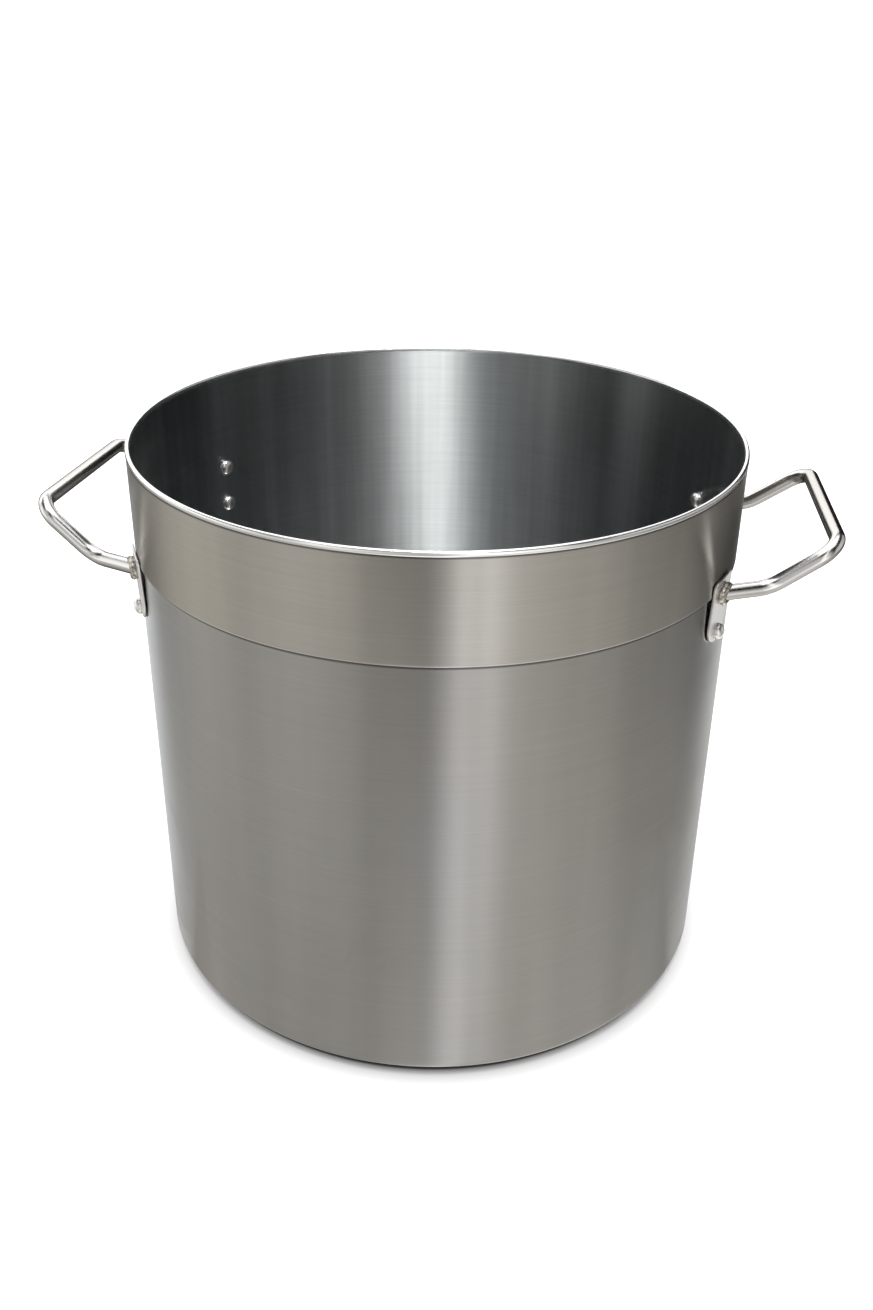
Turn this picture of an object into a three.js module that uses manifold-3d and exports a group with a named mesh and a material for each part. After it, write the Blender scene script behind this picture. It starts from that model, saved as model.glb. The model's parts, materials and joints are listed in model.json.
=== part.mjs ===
// Stock pot of about 45 litres. A drawn stainless shell, a reinforcing band round its mouth, a ground
// weld bead that joins the two along the rim, an aluminium heat-spreading disc under the floor closed
// in by a steel cap, and two loop handles of bent rod. Each handle leg is welded to a strap bent to
// the wall's curve, and each strap is held to the wall by two rivets.
// Millimetres, +Z up. The origin is the centre of the underside. The right handle's middle is on +X,
// the left one's is near -X, and the front of the pot is -Y.
import * as THREE from "three";
import { mergeVertices } from "three/addons/utils/BufferGeometryUtils.js";
import Module from "manifold-3d";

const wasm = await Module();
wasm.setup();

// Driving dimensions.
const HEIGHT = 375; // underside to the top of the rim
const GAP = 0.3; // clearance between pieces that rest on each other
const ROUND = 72; // facets round the pot

const WALL = 1.2; // shell sheet
const SHELL_R = 198.2; // outer radius
const SHELL_Z = 5; // underside of the shell's floor
const SHELL_CORNER = 4; // outside radius between wall and floor
const SHELL_INNER_R = SHELL_R - WALL;

const RIM_R = 200; // outer radius of the rim bead
const RIM_H = 2.7;
const RIM_LAND = 1.4; // width of the flat on top

const BAND_T = 1.2; // band sheet
const BAND_H = 65.5; // height of the band below the rim bead
const BAND_INNER_R = SHELL_R + GAP;
const BAND_R = BAND_INNER_R + BAND_T;
const BAND_Z1 = HEIGHT - RIM_H - GAP;
const BAND_Z0 = BAND_Z1 - BAND_H;

const CAP_R = 191.5; // steel cap under the disc
const CAP_T = 0.9;
const CORE_R = CAP_R - CAP_T - GAP; // aluminium disc
const CORE_Z0 = CAP_T + GAP;
const CORE_Z1 = SHELL_Z - GAP;

const ROD_R = 5; // handle rod
const ROD_SIDES = 12;
const ROD_ROOT = 9; // how far the centre line runs in behind the strap's face
const KNEE_BEND = 24; // centre-line bend radii
const SHOULDER_BEND = 16;
const KNEE_STEPS = 4;
const SHOULDER_STEPS = 6;

const STRAP_W = 30;
const STRAP_T = 1.6;
const STRAP_ABOVE = 11; // the strap's ends, above its leg and below its lower rivet
const STRAP_BELOW = 6.5;
const STRAP_TOP_CORNER = 4; // small corners on top, a nearly round tongue below
const STRAP_TONGUE_CORNER = 14.4;
const STRAP_TILT = 2.2; // degrees the strap leans in below the band
const STRAP_ROUND = 144; // facets round the circle a strap is bent to
const BLANK_DEPTH = 40; // block the strap is cut from, centred on the band's face

const WELD_R = 4.6; // centre-line radius of the bead round a leg
const WELD_TUBE = 2.6; // its section radius
const WELD_LIFT = 1.4; // how far its centre line stands off the strap
const WELD_SIDES = 8; // facets round its section
const WELD_STEPS = 24; // facets round the leg
const WELD_BORE_SIDES = 20;

const RIVET_R = 2.5; // shank
const RIVET_SIDES = 16;
const HOLE_R = RIVET_R + GAP;
const HOLE_LENGTH = 24; // length of a hole's cutter
const SINK_DEPTH = 1.2; // 45 degree countersink in the strap
const SINK_RECESS = 0.35; // upper rivet's end below the strap's face
const INNER_HEAD_R = 5.5;
const INNER_HEAD_H = 2.8;
const INNER_SEAT = SHELL_INNER_R - 0.6; // distance of the inner head's flat from the pot's axis
const OUTER_HEAD_R = 5.2;
const OUTER_HEAD_H = 4.4;
const OUTER_HEAD_LIFT = GAP + 0.2; // the outer head's flat, off the strap's face

// Domed rivet heads: [fraction of radius, fraction of height above the flat].
const INNER_DOME = [
  [0, 1], [0.5, 0.93], [0.83, 0.65], [0.98, 0.3], [1, 0],
];
const OUTER_DOME = [
  [1, 0], [0.98, 0.28], [0.86, 0.57], [0.62, 0.82], [0.3, 0.96], [0, 1],
];

// How each handle is bent and fitted. The middle of the loop is in degrees round the pot. Each leg
// has a strap, turned from the middle by az degrees, then the heights of the leg, the upper rivet
// behind it (just clear of the band) and the lower rivet, then the two corners of the rod on that
// side as [outward, sideways, height]. The knee is where the leg turns up and the shoulder where it
// turns into the grip bar. The left handle sits a little round to the rear, on straps further apart,
// and its loop is wider and lower.
const RIGHT_LEG = {
  leg: 305,
  upper: 303.2,
  lower: 278.5,
  knee: [214, 69.5, 305.5],
  shoulder: [253.5, 66.5, 333.5],
};
const FITTED = {
  right: {
    middle: 0,
    legs: [
      { az: -23.5, ...RIGHT_LEG },
      { az: 23.5, ...RIGHT_LEG },
    ],
  },
  left: {
    middle: 177,
    legs: [
      {
        az: -27.5,
        leg: 304.5,
        upper: 303.2,
        lower: 274.5,
        knee: [214, 75, 301],
        shoulder: [247, 71.5, 326],
      },
      {
        az: 26.5,
        leg: 301,
        upper: 301,
        lower: 273.5,
        knee: [214, 72.5, 298],
        shoulder: [251, 67.5, 329.5],
      },
    ],
  },
};

const rad = THREE.MathUtils.degToRad;

// A closed mesh as a solid, placed by a matrix. The geometry passed in is used up.
function solid(geometry, matrix = new THREE.Matrix4()) {
  geometry.deleteAttribute("normal");
  geometry.deleteAttribute("uv");
  geometry.applyMatrix4(matrix);
  const merged = mergeVertices(geometry, 1e-4);
  return new wasm.Manifold(
    new wasm.Mesh({
      numProp: 3,
      vertProperties: new Float32Array(merged.attributes.position.array),
      triVerts: new Uint32Array(merged.index.array),
    }),
  );
}

// A solid as a flat-shaded mesh geometry.
function geometryOf(body) {
  const mesh = body.getMesh();
  const indexed = new THREE.BufferGeometry();
  const positions = new Float32Array(mesh.vertProperties);
  indexed.setAttribute("position", new THREE.BufferAttribute(positions, 3));
  indexed.setIndex(new THREE.BufferAttribute(new Uint32Array(mesh.triVerts), 1));
  const flat = indexed.toNonIndexed();
  flat.computeVertexNormals();
  return flat;
}

// A profile of [radius, height] turned about Z. Its points run anticlockwise, so its faces point out.
function turned(profile, segments = ROUND) {
  const points = profile.map(([radius, z]) => new THREE.Vector2(radius, z));
  return new THREE.LatheGeometry(points, segments).rotateX(Math.PI / 2);
}

// The same about X, for rivets and countersinks: [radius, distance along X].
const turnedX = (profile) => turned(profile, RIVET_SIDES).rotateY(Math.PI / 2);

// Cutter for a rivet hole along X, centred at x and height z.
const holeCutter = (x, z) =>
  new THREE.CylinderGeometry(HOLE_R, HOLE_R, HOLE_LENGTH, RIVET_SIDES)
    .rotateZ(Math.PI / 2)
    .translate(x, 0, z);

const steel = (look) => new THREE.MeshStandardMaterial({ metalness: 1, ...look });
const finishes = {
  shell: steel({ name: "brushed shell", color: 0x8f8d88, roughness: 0.36 }),
  band: steel({ name: "brushed band", color: 0xa39f97, roughness: 0.3 }),
  rim: steel({ name: "polished rim", color: 0xd8d8d6, roughness: 0.16 }),
  core: steel({ name: "aluminium disc", color: 0xb9bcc0, roughness: 0.45 }),
  cap: steel({ name: "base cap", color: 0x9a9894, roughness: 0.33 }),
  rod: steel({ name: "polished rod", color: 0xcfccc6, roughness: 0.14 }),
  strap: steel({ name: "brushed strap", color: 0xb0ada6, roughness: 0.27 }),
  weld: steel({ name: "weld bead", color: 0x9b907c, roughness: 0.5 }),
  rivet: steel({ name: "rivet", color: 0xc9c6bf, roughness: 0.2 }),
};

// The frame turned round the pot by az degrees: +X outward, +Y along the wall, +Z up.
const outFrame = (az) => new THREE.Matrix4().makeRotationZ(rad(az));

// Shell: floor, small corner and straight wall in one drawn piece, with the rivet holes.
function shellGeometry() {
  const cornerArc = (radius, from, to) =>
    Array.from({ length: 4 }, (_, i) => {
      const angle = rad(from + ((to - from) * i) / 3);
      return [
        SHELL_R - SHELL_CORNER + radius * Math.cos(angle),
        SHELL_Z + SHELL_CORNER + radius * Math.sin(angle),
      ];
    });
  let shell = solid(
    turned([
      [0, SHELL_Z],
      ...cornerArc(SHELL_CORNER, -90, 0),
      [SHELL_R, BAND_Z1],
      [SHELL_INNER_R, BAND_Z1],
      ...cornerArc(SHELL_CORNER - WALL, 0, -90),
      [0, SHELL_Z + WALL],
    ]),
  );
  for (const { middle, legs } of Object.values(FITTED))
    for (const { az, upper, lower } of legs)
      for (const z of [upper, lower])
        shell = shell.subtract(solid(holeCutter(SHELL_R, z), outFrame(middle + az)));
  return geometryOf(shell);
}

// Reinforcing band: a second sheet round the outside of the mouth, its lower edge broken.
function bandGeometry() {
  const chamfer = 0.3;
  return turned([
    [BAND_INNER_R, BAND_Z0],
    [BAND_R - chamfer, BAND_Z0],
    [BAND_R, BAND_Z0 + chamfer],
    [BAND_R, BAND_Z1],
    [BAND_INNER_R, BAND_Z1],
    [BAND_INNER_R, BAND_Z0],
  ]);
}

// Rim bead: the weld along both top edges, ground round with a narrow flat on top.
function rimGeometry() {
  const middle = (SHELL_INNER_R + RIM_R) / 2;
  const bottom = HEIGHT - RIM_H;
  const sideTop = HEIGHT - 1.3; // where the upright sides end
  const shoulderZ = HEIGHT - 0.45; // where the slope to the flat begins
  const shoulderIn = 0.25;
  return turned([
    [SHELL_INNER_R, bottom],
    [RIM_R, bottom],
    [RIM_R, sideTop],
    [RIM_R - shoulderIn, shoulderZ],
    [middle + RIM_LAND / 2, HEIGHT],
    [middle - RIM_LAND / 2, HEIGHT],
    [SHELL_INNER_R + shoulderIn, shoulderZ],
    [SHELL_INNER_R, sideTop],
    [SHELL_INNER_R, bottom],
  ]);
}

// Aluminium disc under the floor.
const coreGeometry = () =>
  turned([
    [0, CORE_Z0],
    [CORE_R, CORE_Z0],
    [CORE_R, CORE_Z1],
    [0, CORE_Z1],
  ]);

// Steel cap whose edge turns up round the disc, its outside corner eased in two facets.
function capGeometry() {
  const ease = 1.2;
  const easeMiddle = 0.35;
  return turned([
    [0, 0],
    [CAP_R - ease, 0],
    [CAP_R - easeMiddle, easeMiddle],
    [CAP_R, ease],
    [CAP_R, CORE_Z1],
    [CAP_R - CAP_T, CORE_Z1],
    [CAP_R - CAP_T, CAP_T],
    [0, CAP_T],
  ]);
}

// How far out the strap's inner and outer faces are at a height.
const strapInner = (z) => BAND_R + GAP + (z - BAND_Z0) * Math.tan(rad(STRAP_TILT));
const strapFace = (z) => strapInner(z) + STRAP_T;

// Everything inside a cone that stands a distance out from the strap's inner face.
function insideCone(offset) {
  const bottom = 230;
  const top = 350;
  return turned(
    [
      [0, bottom],
      [strapInner(bottom) + offset, bottom],
      [strapInner(top) + offset, top],
      [0, top],
    ],
    STRAP_ROUND,
  );
}

// Everything inside the strap's outer face, plus the gap.
const behindStrap = (az) => solid(insideCone(STRAP_T + GAP), outFrame(az));

// A path through given points, one per extrusion step, its tangents halving the angle at each point.
class PointPath extends THREE.Curve {
  constructor(points) {
    super();
    this.points = points;
  }
  indexAt(u) {
    return Math.round(u * (this.points.length - 1));
  }
  getPointAt(u, target = new THREE.Vector3()) {
    return target.copy(this.points[this.indexAt(u)]);
  }
  getTangentAt(u, target = new THREE.Vector3()) {
    const i = this.indexAt(u);
    const here = this.points[i];
    const previous = this.points[i - 1] ?? here;
    const next = this.points[i + 1] ?? here;
    const before = here.clone().sub(previous).normalize();
    const after = next.clone().sub(here).normalize();
    return target.copy(before.add(after)).normalize();
  }
}

// One corner of a centre line rounded to a bend radius, as steps + 1 points along its arc.
function bend(previous, corner, next, radius, steps) {
  const back = previous.clone().sub(corner).normalize();
  const ahead = next.clone().sub(corner).normalize();
  const half = back.angleTo(ahead) / 2;
  const turn = Math.PI - 2 * half;
  const centre = back
    .clone()
    .add(ahead)
    .normalize()
    .multiplyScalar(radius / Math.sin(half))
    .add(corner);
  // From the bend's centre to where it meets a straight run.
  const spoke = (direction) =>
    direction.multiplyScalar(radius / Math.tan(half)).add(corner).sub(centre);
  const start = spoke(back);
  const end = spoke(ahead);
  return Array.from({ length: steps + 1 }, (_, i) => {
    const t = i / steps;
    return centre
      .clone()
      .addScaledVector(start, Math.sin((1 - t) * turn) / Math.sin(turn))
      .addScaledVector(end, Math.sin(t * turn) / Math.sin(turn));
  });
}

// A round rod swept along a line of points.
function rodAlong(points, radius, sides) {
  const section = Array.from({ length: sides }, (_, i) => {
    const angle = (i / sides) * 2 * Math.PI;
    return new THREE.Vector2(radius * Math.cos(angle), radius * Math.sin(angle));
  });
  return new THREE.ExtrudeGeometry(new THREE.Shape(section), {
    steps: points.length - 1,
    extrudePath: new PointPath(points),
    bevelEnabled: false,
    curveSegments: 1,
  });
}

// A knee or shoulder, on its leg's side of the handle.
const rodCorner = ([x, y, z], { az }) => new THREE.Vector3(x, y * Math.sign(az), z);

// Where a leg's centre line passes the strap's outer face, and which way it runs.
function legLine(leg) {
  const radius = strapFace(leg.leg);
  const angle = rad(leg.az);
  const root = new THREE.Vector3(radius * Math.cos(angle), radius * Math.sin(angle), leg.leg);
  const direction = rodCorner(leg.knee, leg).sub(root).normalize();
  return { root, direction };
}

// The rod's centre line. It starts and ends behind the straps' faces, which then cut the rod off.
function centreLine({ legs: [first, last] }) {
  const legStart = (leg) => {
    const { root, direction } = legLine(leg);
    return root.addScaledVector(direction, -ROD_ROOT);
  };
  const start = legStart(first);
  const kneeA = rodCorner(first.knee, first);
  const shoulderA = rodCorner(first.shoulder, first);
  const shoulderB = rodCorner(last.shoulder, last);
  const kneeB = rodCorner(last.knee, last);
  const end = legStart(last);
  return [
    start,
    ...bend(start, kneeA, shoulderA, KNEE_BEND, KNEE_STEPS),
    ...bend(kneeA, shoulderA, shoulderB, SHOULDER_BEND, SHOULDER_STEPS),
    ...bend(shoulderA, shoulderB, kneeB, SHOULDER_BEND, SHOULDER_STEPS),
    ...bend(shoulderB, kneeB, end, KNEE_BEND, KNEE_STEPS),
    end,
  ];
}

function rodGeometry(handle) {
  let rod = solid(rodAlong(centreLine(handle), ROD_R, ROD_SIDES));
  for (const { az } of handle.legs) rod = rod.subtract(behindStrap(az));
  return geometryOf(rod);
}

// Weld bead: a heavy ring round the leg where it meets the strap, drawn out sideways because the leg
// leaves the strap at a slant.
function weldGeometry(leg, handle) {
  const { root, direction } = legLine(leg);
  // The strap's tilted frame starts where its inner face passes the band's lower edge.
  const frame = outFrame(leg.az)
    .multiply(new THREE.Matrix4().makeTranslation(BAND_R + GAP, 0, BAND_Z0))
    .multiply(new THREE.Matrix4().makeRotationY(rad(STRAP_TILT)));
  const normal = new THREE.Vector3(1, 0, 0).transformDirection(frame);
  const slant = Math.abs(direction.dot(normal));
  const local = root.applyMatrix4(frame.clone().invert());
  const ring = new THREE.TorusGeometry(WELD_R, WELD_TUBE, WELD_SIDES, WELD_STEPS)
    .rotateY(Math.PI / 2)
    .scale(1, 1 / slant, 1)
    .translate(local.x + WELD_LIFT, local.y, local.z);
  const bore = rodAlong(centreLine(handle), ROD_R + GAP, WELD_BORE_SIDES);
  return geometryOf(
    solid(ring, frame).subtract(behindStrap(leg.az)).subtract(solid(bore)),
  );
}

// The strap's outline extruded outward as a block: X outward, Y along the wall, Z up.
function strapBlank(bottom, top) {
  const side = STRAP_W / 2;
  const small = STRAP_TOP_CORNER;
  const tongue = STRAP_TONGUE_CORNER;
  // Corners: arc centre along the wall and up, radius, start angle in degrees.
  const corners = [
    [side - tongue, bottom + tongue, tongue, -90],
    [side - small, top - small, small, 0],
    [-side + small, top - small, small, 90],
    [-side + tongue, bottom + tongue, tongue, 180],
  ];
  const outline = new THREE.Shape();
  for (const [along, up, radius, start] of corners)
    outline.absarc(along, up, radius, rad(start), rad(start + 90));
  return new THREE.ExtrudeGeometry(outline, {
    depth: BLANK_DEPTH,
    bevelEnabled: false,
    curveSegments: 8,
  })
    .rotateX(Math.PI / 2)
    .rotateZ(Math.PI / 2)
    .translate(BAND_R - BLANK_DEPTH / 2, 0, 0);
}

// Strap: a plate bent to the wall's curve, with a countersunk hole behind the leg and a plain hole
// below.
function strapGeometry({ leg, upper, lower }) {
  const face = strapFace(upper);
  const sink = turnedX([
    [0, face - SINK_DEPTH],
    [HOLE_R, face - SINK_DEPTH],
    [HOLE_R + SINK_DEPTH + GAP, face + GAP],
    [0, face + GAP],
  ]).translate(0, 0, upper);
  return geometryOf(
    solid(strapBlank(lower - STRAP_BELOW, leg + STRAP_ABOVE))
      .intersect(solid(insideCone(STRAP_T)))
      .subtract(solid(insideCone(0)))
      .subtract(solid(holeCutter(BAND_R, upper)))
      .subtract(solid(holeCutter(BAND_R, lower)))
      .subtract(solid(sink)),
  );
}

// Rivets lie along X in the strap's outward frame. Both kinds have a domed head inside the pot.
const innerHead = [
  ...INNER_DOME.map(([r, h]) => [INNER_HEAD_R * r, INNER_SEAT - INNER_HEAD_H * h]),
  [RIVET_R, INNER_SEAT],
];

// Upper rivet: its outer end fills the countersink to just below the strap's face.
function upperRivet(z) {
  const face = strapFace(z);
  return turnedX([
    ...innerHead,
    [RIVET_R, face - SINK_DEPTH],
    [RIVET_R + SINK_DEPTH - SINK_RECESS, face - SINK_RECESS],
    [0, face - SINK_RECESS],
  ]);
}

// Lower rivet: a second domed head outside the strap.
function lowerRivet(z) {
  const seat = strapFace(z) + OUTER_HEAD_LIFT;
  return turnedX([
    ...innerHead,
    [RIVET_R, seat],
    ...OUTER_DOME.map(([r, h]) => [OUTER_HEAD_R * r, seat + OUTER_HEAD_H * h]),
  ]);
}

const pot = new THREE.Group();

function piece(name, geometry, finish, parent = pot) {
  const mesh = new THREE.Mesh(geometry, finishes[finish]);
  mesh.name = name;
  parent.add(mesh);
  return mesh;
}

// A group turned round Z by an angle in degrees.
function turnedGroup(parent, angle) {
  const group = new THREE.Group();
  group.rotation.z = rad(angle);
  parent.add(group);
  return group;
}

piece("pot_shell", shellGeometry(), "shell");
piece("top_band", bandGeometry(), "band");
piece("rim_bead", rimGeometry(), "rim");
piece("base_core_disc", coreGeometry(), "core");
piece("base_cap", capGeometry(), "cap");

// Each handle with its straps, welds and rivets, built on +X and turned round to its place.
for (const [side, handle] of Object.entries(FITTED)) {
  const loop = turnedGroup(pot, handle.middle);
  piece(`handle_${side}`, rodGeometry(handle), "rod", loop);
  for (const leg of handle.legs) {
    const where = leg.az < 0 === (side === "right") ? "front" : "rear";
    const id = `${side}_${where}`;
    const mount = turnedGroup(loop, leg.az);
    piece(`strap_${id}`, strapGeometry(leg), "strap", mount);
    piece(`leg_weld_${id}`, weldGeometry(leg, handle), "weld", loop);
    const upper = piece(`upper_rivet_${id}`, upperRivet(leg.upper), "rivet", mount);
    upper.position.z = leg.upper;
    const lower = piece(`lower_rivet_${id}`, lowerRivet(leg.lower), "rivet", mount);
    lower.position.z = leg.lower;
  }
}

export default pot;
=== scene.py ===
"""Stainless stock pot: its looks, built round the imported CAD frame.

Metres, +Z up. The pot stands on its base with its axis on Z. The handles are on the right (+X)
and on the left (-X). The front faces -Y, where the camera stands.
"""

import json
import math

import bmesh
import bpy
from mathutils import Matrix, Vector, noise

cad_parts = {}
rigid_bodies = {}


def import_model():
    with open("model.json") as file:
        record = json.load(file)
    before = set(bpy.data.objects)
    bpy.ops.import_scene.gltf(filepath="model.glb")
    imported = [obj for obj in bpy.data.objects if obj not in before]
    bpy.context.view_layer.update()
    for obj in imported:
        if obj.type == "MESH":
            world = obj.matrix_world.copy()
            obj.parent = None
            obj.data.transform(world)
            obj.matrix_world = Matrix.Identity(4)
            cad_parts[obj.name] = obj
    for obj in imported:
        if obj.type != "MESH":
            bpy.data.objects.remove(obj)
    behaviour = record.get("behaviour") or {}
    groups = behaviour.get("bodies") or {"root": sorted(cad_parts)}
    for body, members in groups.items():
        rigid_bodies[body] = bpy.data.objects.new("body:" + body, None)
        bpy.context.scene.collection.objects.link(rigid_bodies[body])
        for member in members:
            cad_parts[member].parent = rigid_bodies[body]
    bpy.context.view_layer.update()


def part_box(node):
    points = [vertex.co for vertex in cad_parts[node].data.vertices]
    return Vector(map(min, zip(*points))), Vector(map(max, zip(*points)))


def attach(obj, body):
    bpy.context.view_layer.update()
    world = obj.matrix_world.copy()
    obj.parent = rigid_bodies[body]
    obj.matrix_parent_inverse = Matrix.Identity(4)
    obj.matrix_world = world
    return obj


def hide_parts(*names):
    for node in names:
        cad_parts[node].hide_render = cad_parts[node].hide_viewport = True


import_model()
BODY = "root"

# ---------------------------------------------------------------------------------------------
# Sizes, in metres
# ---------------------------------------------------------------------------------------------
MM = 0.001


def turned_size(node):
    """Outer radius, bottom and top of a round CAD piece."""
    lo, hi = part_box(node)
    return (hi.y - lo.y) / 2, lo.z, hi.z


def centre_height(node):
    lo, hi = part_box(node)
    return ((lo + hi) / 2).z


RIM_R, RIM_Z0, TOP = turned_size("rim_bead")
BAND_R, BAND_Z0, BAND_Z1 = turned_size("top_band")
SHELL_R, SHELL_Z0, SHELL_Z1 = turned_size("pot_shell")
CAP_R, CAP_Z0, CAP_Z1 = turned_size("base_cap")
CORE_R, CORE_Z0, CORE_Z1 = turned_size("base_core_disc")

WALL = 1.2 * MM
FOOT_BEND = 4.0 * MM  # outer radius of the shell's bottom corner
ROUND_SEGMENTS = 288  # round the shell, band and rim

ROD_R = 4.92 * MM
KNEE_BEND = 24 * MM
SHOULDER_BEND = 16 * MM

STRAP_T = 1.6 * MM
STRAP_W = 30 * MM
STRAP_TILT = math.radians(2.2)
STRAP_GAP = 0.3 * MM  # between the band and a strap, at the band's foot

CAM_AZ = math.radians(-84.5)  # where the camera stands round the pot


def strap_inner(z):
    """How far out a strap's inner face stands at a height."""
    return BAND_R + STRAP_GAP + (z - BAND_Z0) * math.tan(STRAP_TILT)


def strap_face(z):
    """The same for its outer face."""
    return strap_inner(z) + STRAP_T


class Leg:
    """One end of a handle. Points are in the frame of its side, where +X is the handle's middle."""

    def __init__(self, side, middle, end, azimuth, root_height, knee, shoulder):
        self.side = side
        self.node = f"{side}_{end}"
        self.az = math.radians(azimuth)
        self.turn = Matrix.Rotation(math.radians(middle), 4, "Z")
        self.facing = self.turn @ Matrix.Rotation(self.az, 4, "Z")
        root_z = root_height * MM
        root_r = strap_face(root_z)
        self.root = Vector((root_r * math.cos(self.az), root_r * math.sin(self.az), root_z))
        self.knee = self.corner(knee)
        self.shoulder = self.corner(shoulder)
        self.direction = (self.knee - self.root).normalized()

    def corner(self, millimetres):
        outward, sideways, height = (v * MM for v in millimetres)
        return Vector((outward, sideways * (1 if self.az > 0 else -1), height))


# side, azimuth of the handle's middle, end, azimuth of the leg from that middle (degrees),
# height of the rod's root on the strap, then the rod's knee and shoulder corners, each as
# outward, sideways, height (mm)
LEGS = [
    Leg(*row)
    for row in (
        ("right", 0, "front", -23.5, 305.0, (214, 69.5, 305.5), (253.5, 66.5, 333.5)),
        ("right", 0, "rear", 23.5, 305.0, (214, 69.5, 305.5), (253.5, 66.5, 333.5)),
        ("left", 177, "rear", -27.5, 304.5, (214, 75, 301), (247, 71.5, 326)),
        ("left", 177, "front", 26.5, 301.0, (214, 72.5, 298), (251, 67.5, 329.5)),
    )
]


# ---------------------------------------------------------------------------------------------
# Mesh helpers
# ---------------------------------------------------------------------------------------------
def new_object(name, bm, sharp_angle=None):
    """A smooth-shaded object, with edges steeper than sharp_angle (degrees) marked sharp."""
    mesh = bpy.data.meshes.new(name)
    bmesh.ops.recalc_face_normals(bm, faces=bm.faces)
    bm.to_mesh(mesh)
    bm.free()
    for polygon in mesh.polygons:
        polygon.use_smooth = True
    obj = bpy.data.objects.new(name, mesh)
    bpy.context.scene.collection.objects.link(obj)
    if sharp_angle:
        mesh.set_sharp_from_angle(angle=math.radians(sharp_angle))
    return obj


def place(obj, matrix):
    obj.data.transform(matrix)
    obj.data.update()


def register(obj, node, slot, *materials):
    """Last step of every piece: finish, CAD node it stands for, body. The slot is not used."""
    for material in materials:
        obj.data.materials.append(material)
    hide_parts(node)
    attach(obj, BODY)


def lathe(profile, segments, closed=False):
    """Profile of (radius, z) turned about Z. Points on the axis become one vertex."""
    bm = bmesh.new()
    rings = []
    for radius, z in profile:
        if radius < 1e-9:
            rings.append([bm.verts.new((0, 0, z))])
            continue
        ring = []
        for i in range(segments):
            angle = 2 * math.pi * i / segments
            ring.append(bm.verts.new((radius * math.cos(angle), radius * math.sin(angle), z)))
        rings.append(ring)
    pairs = list(zip(rings, rings[1:]))
    if closed:
        pairs.append((rings[-1], rings[0]))
    for near, far in pairs:
        for i in range(segments):
            j = (i + 1) % segments
            if len(near) == 1:
                bm.faces.new((near[0], far[j], far[i]))
            elif len(far) == 1:
                bm.faces.new((near[i], near[j], far[0]))
            else:
                bm.faces.new((near[i], near[j], far[j], far[i]))
    return bm


def arc(across, height, radius, start, end, steps):
    """Points on an arc about (across, height), from start to end in degrees."""
    points = []
    for i in range(steps + 1):
        angle = math.radians(start + (end - start) * i / steps)
        points.append((across + radius * math.cos(angle), height + radius * math.sin(angle)))
    return points


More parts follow.
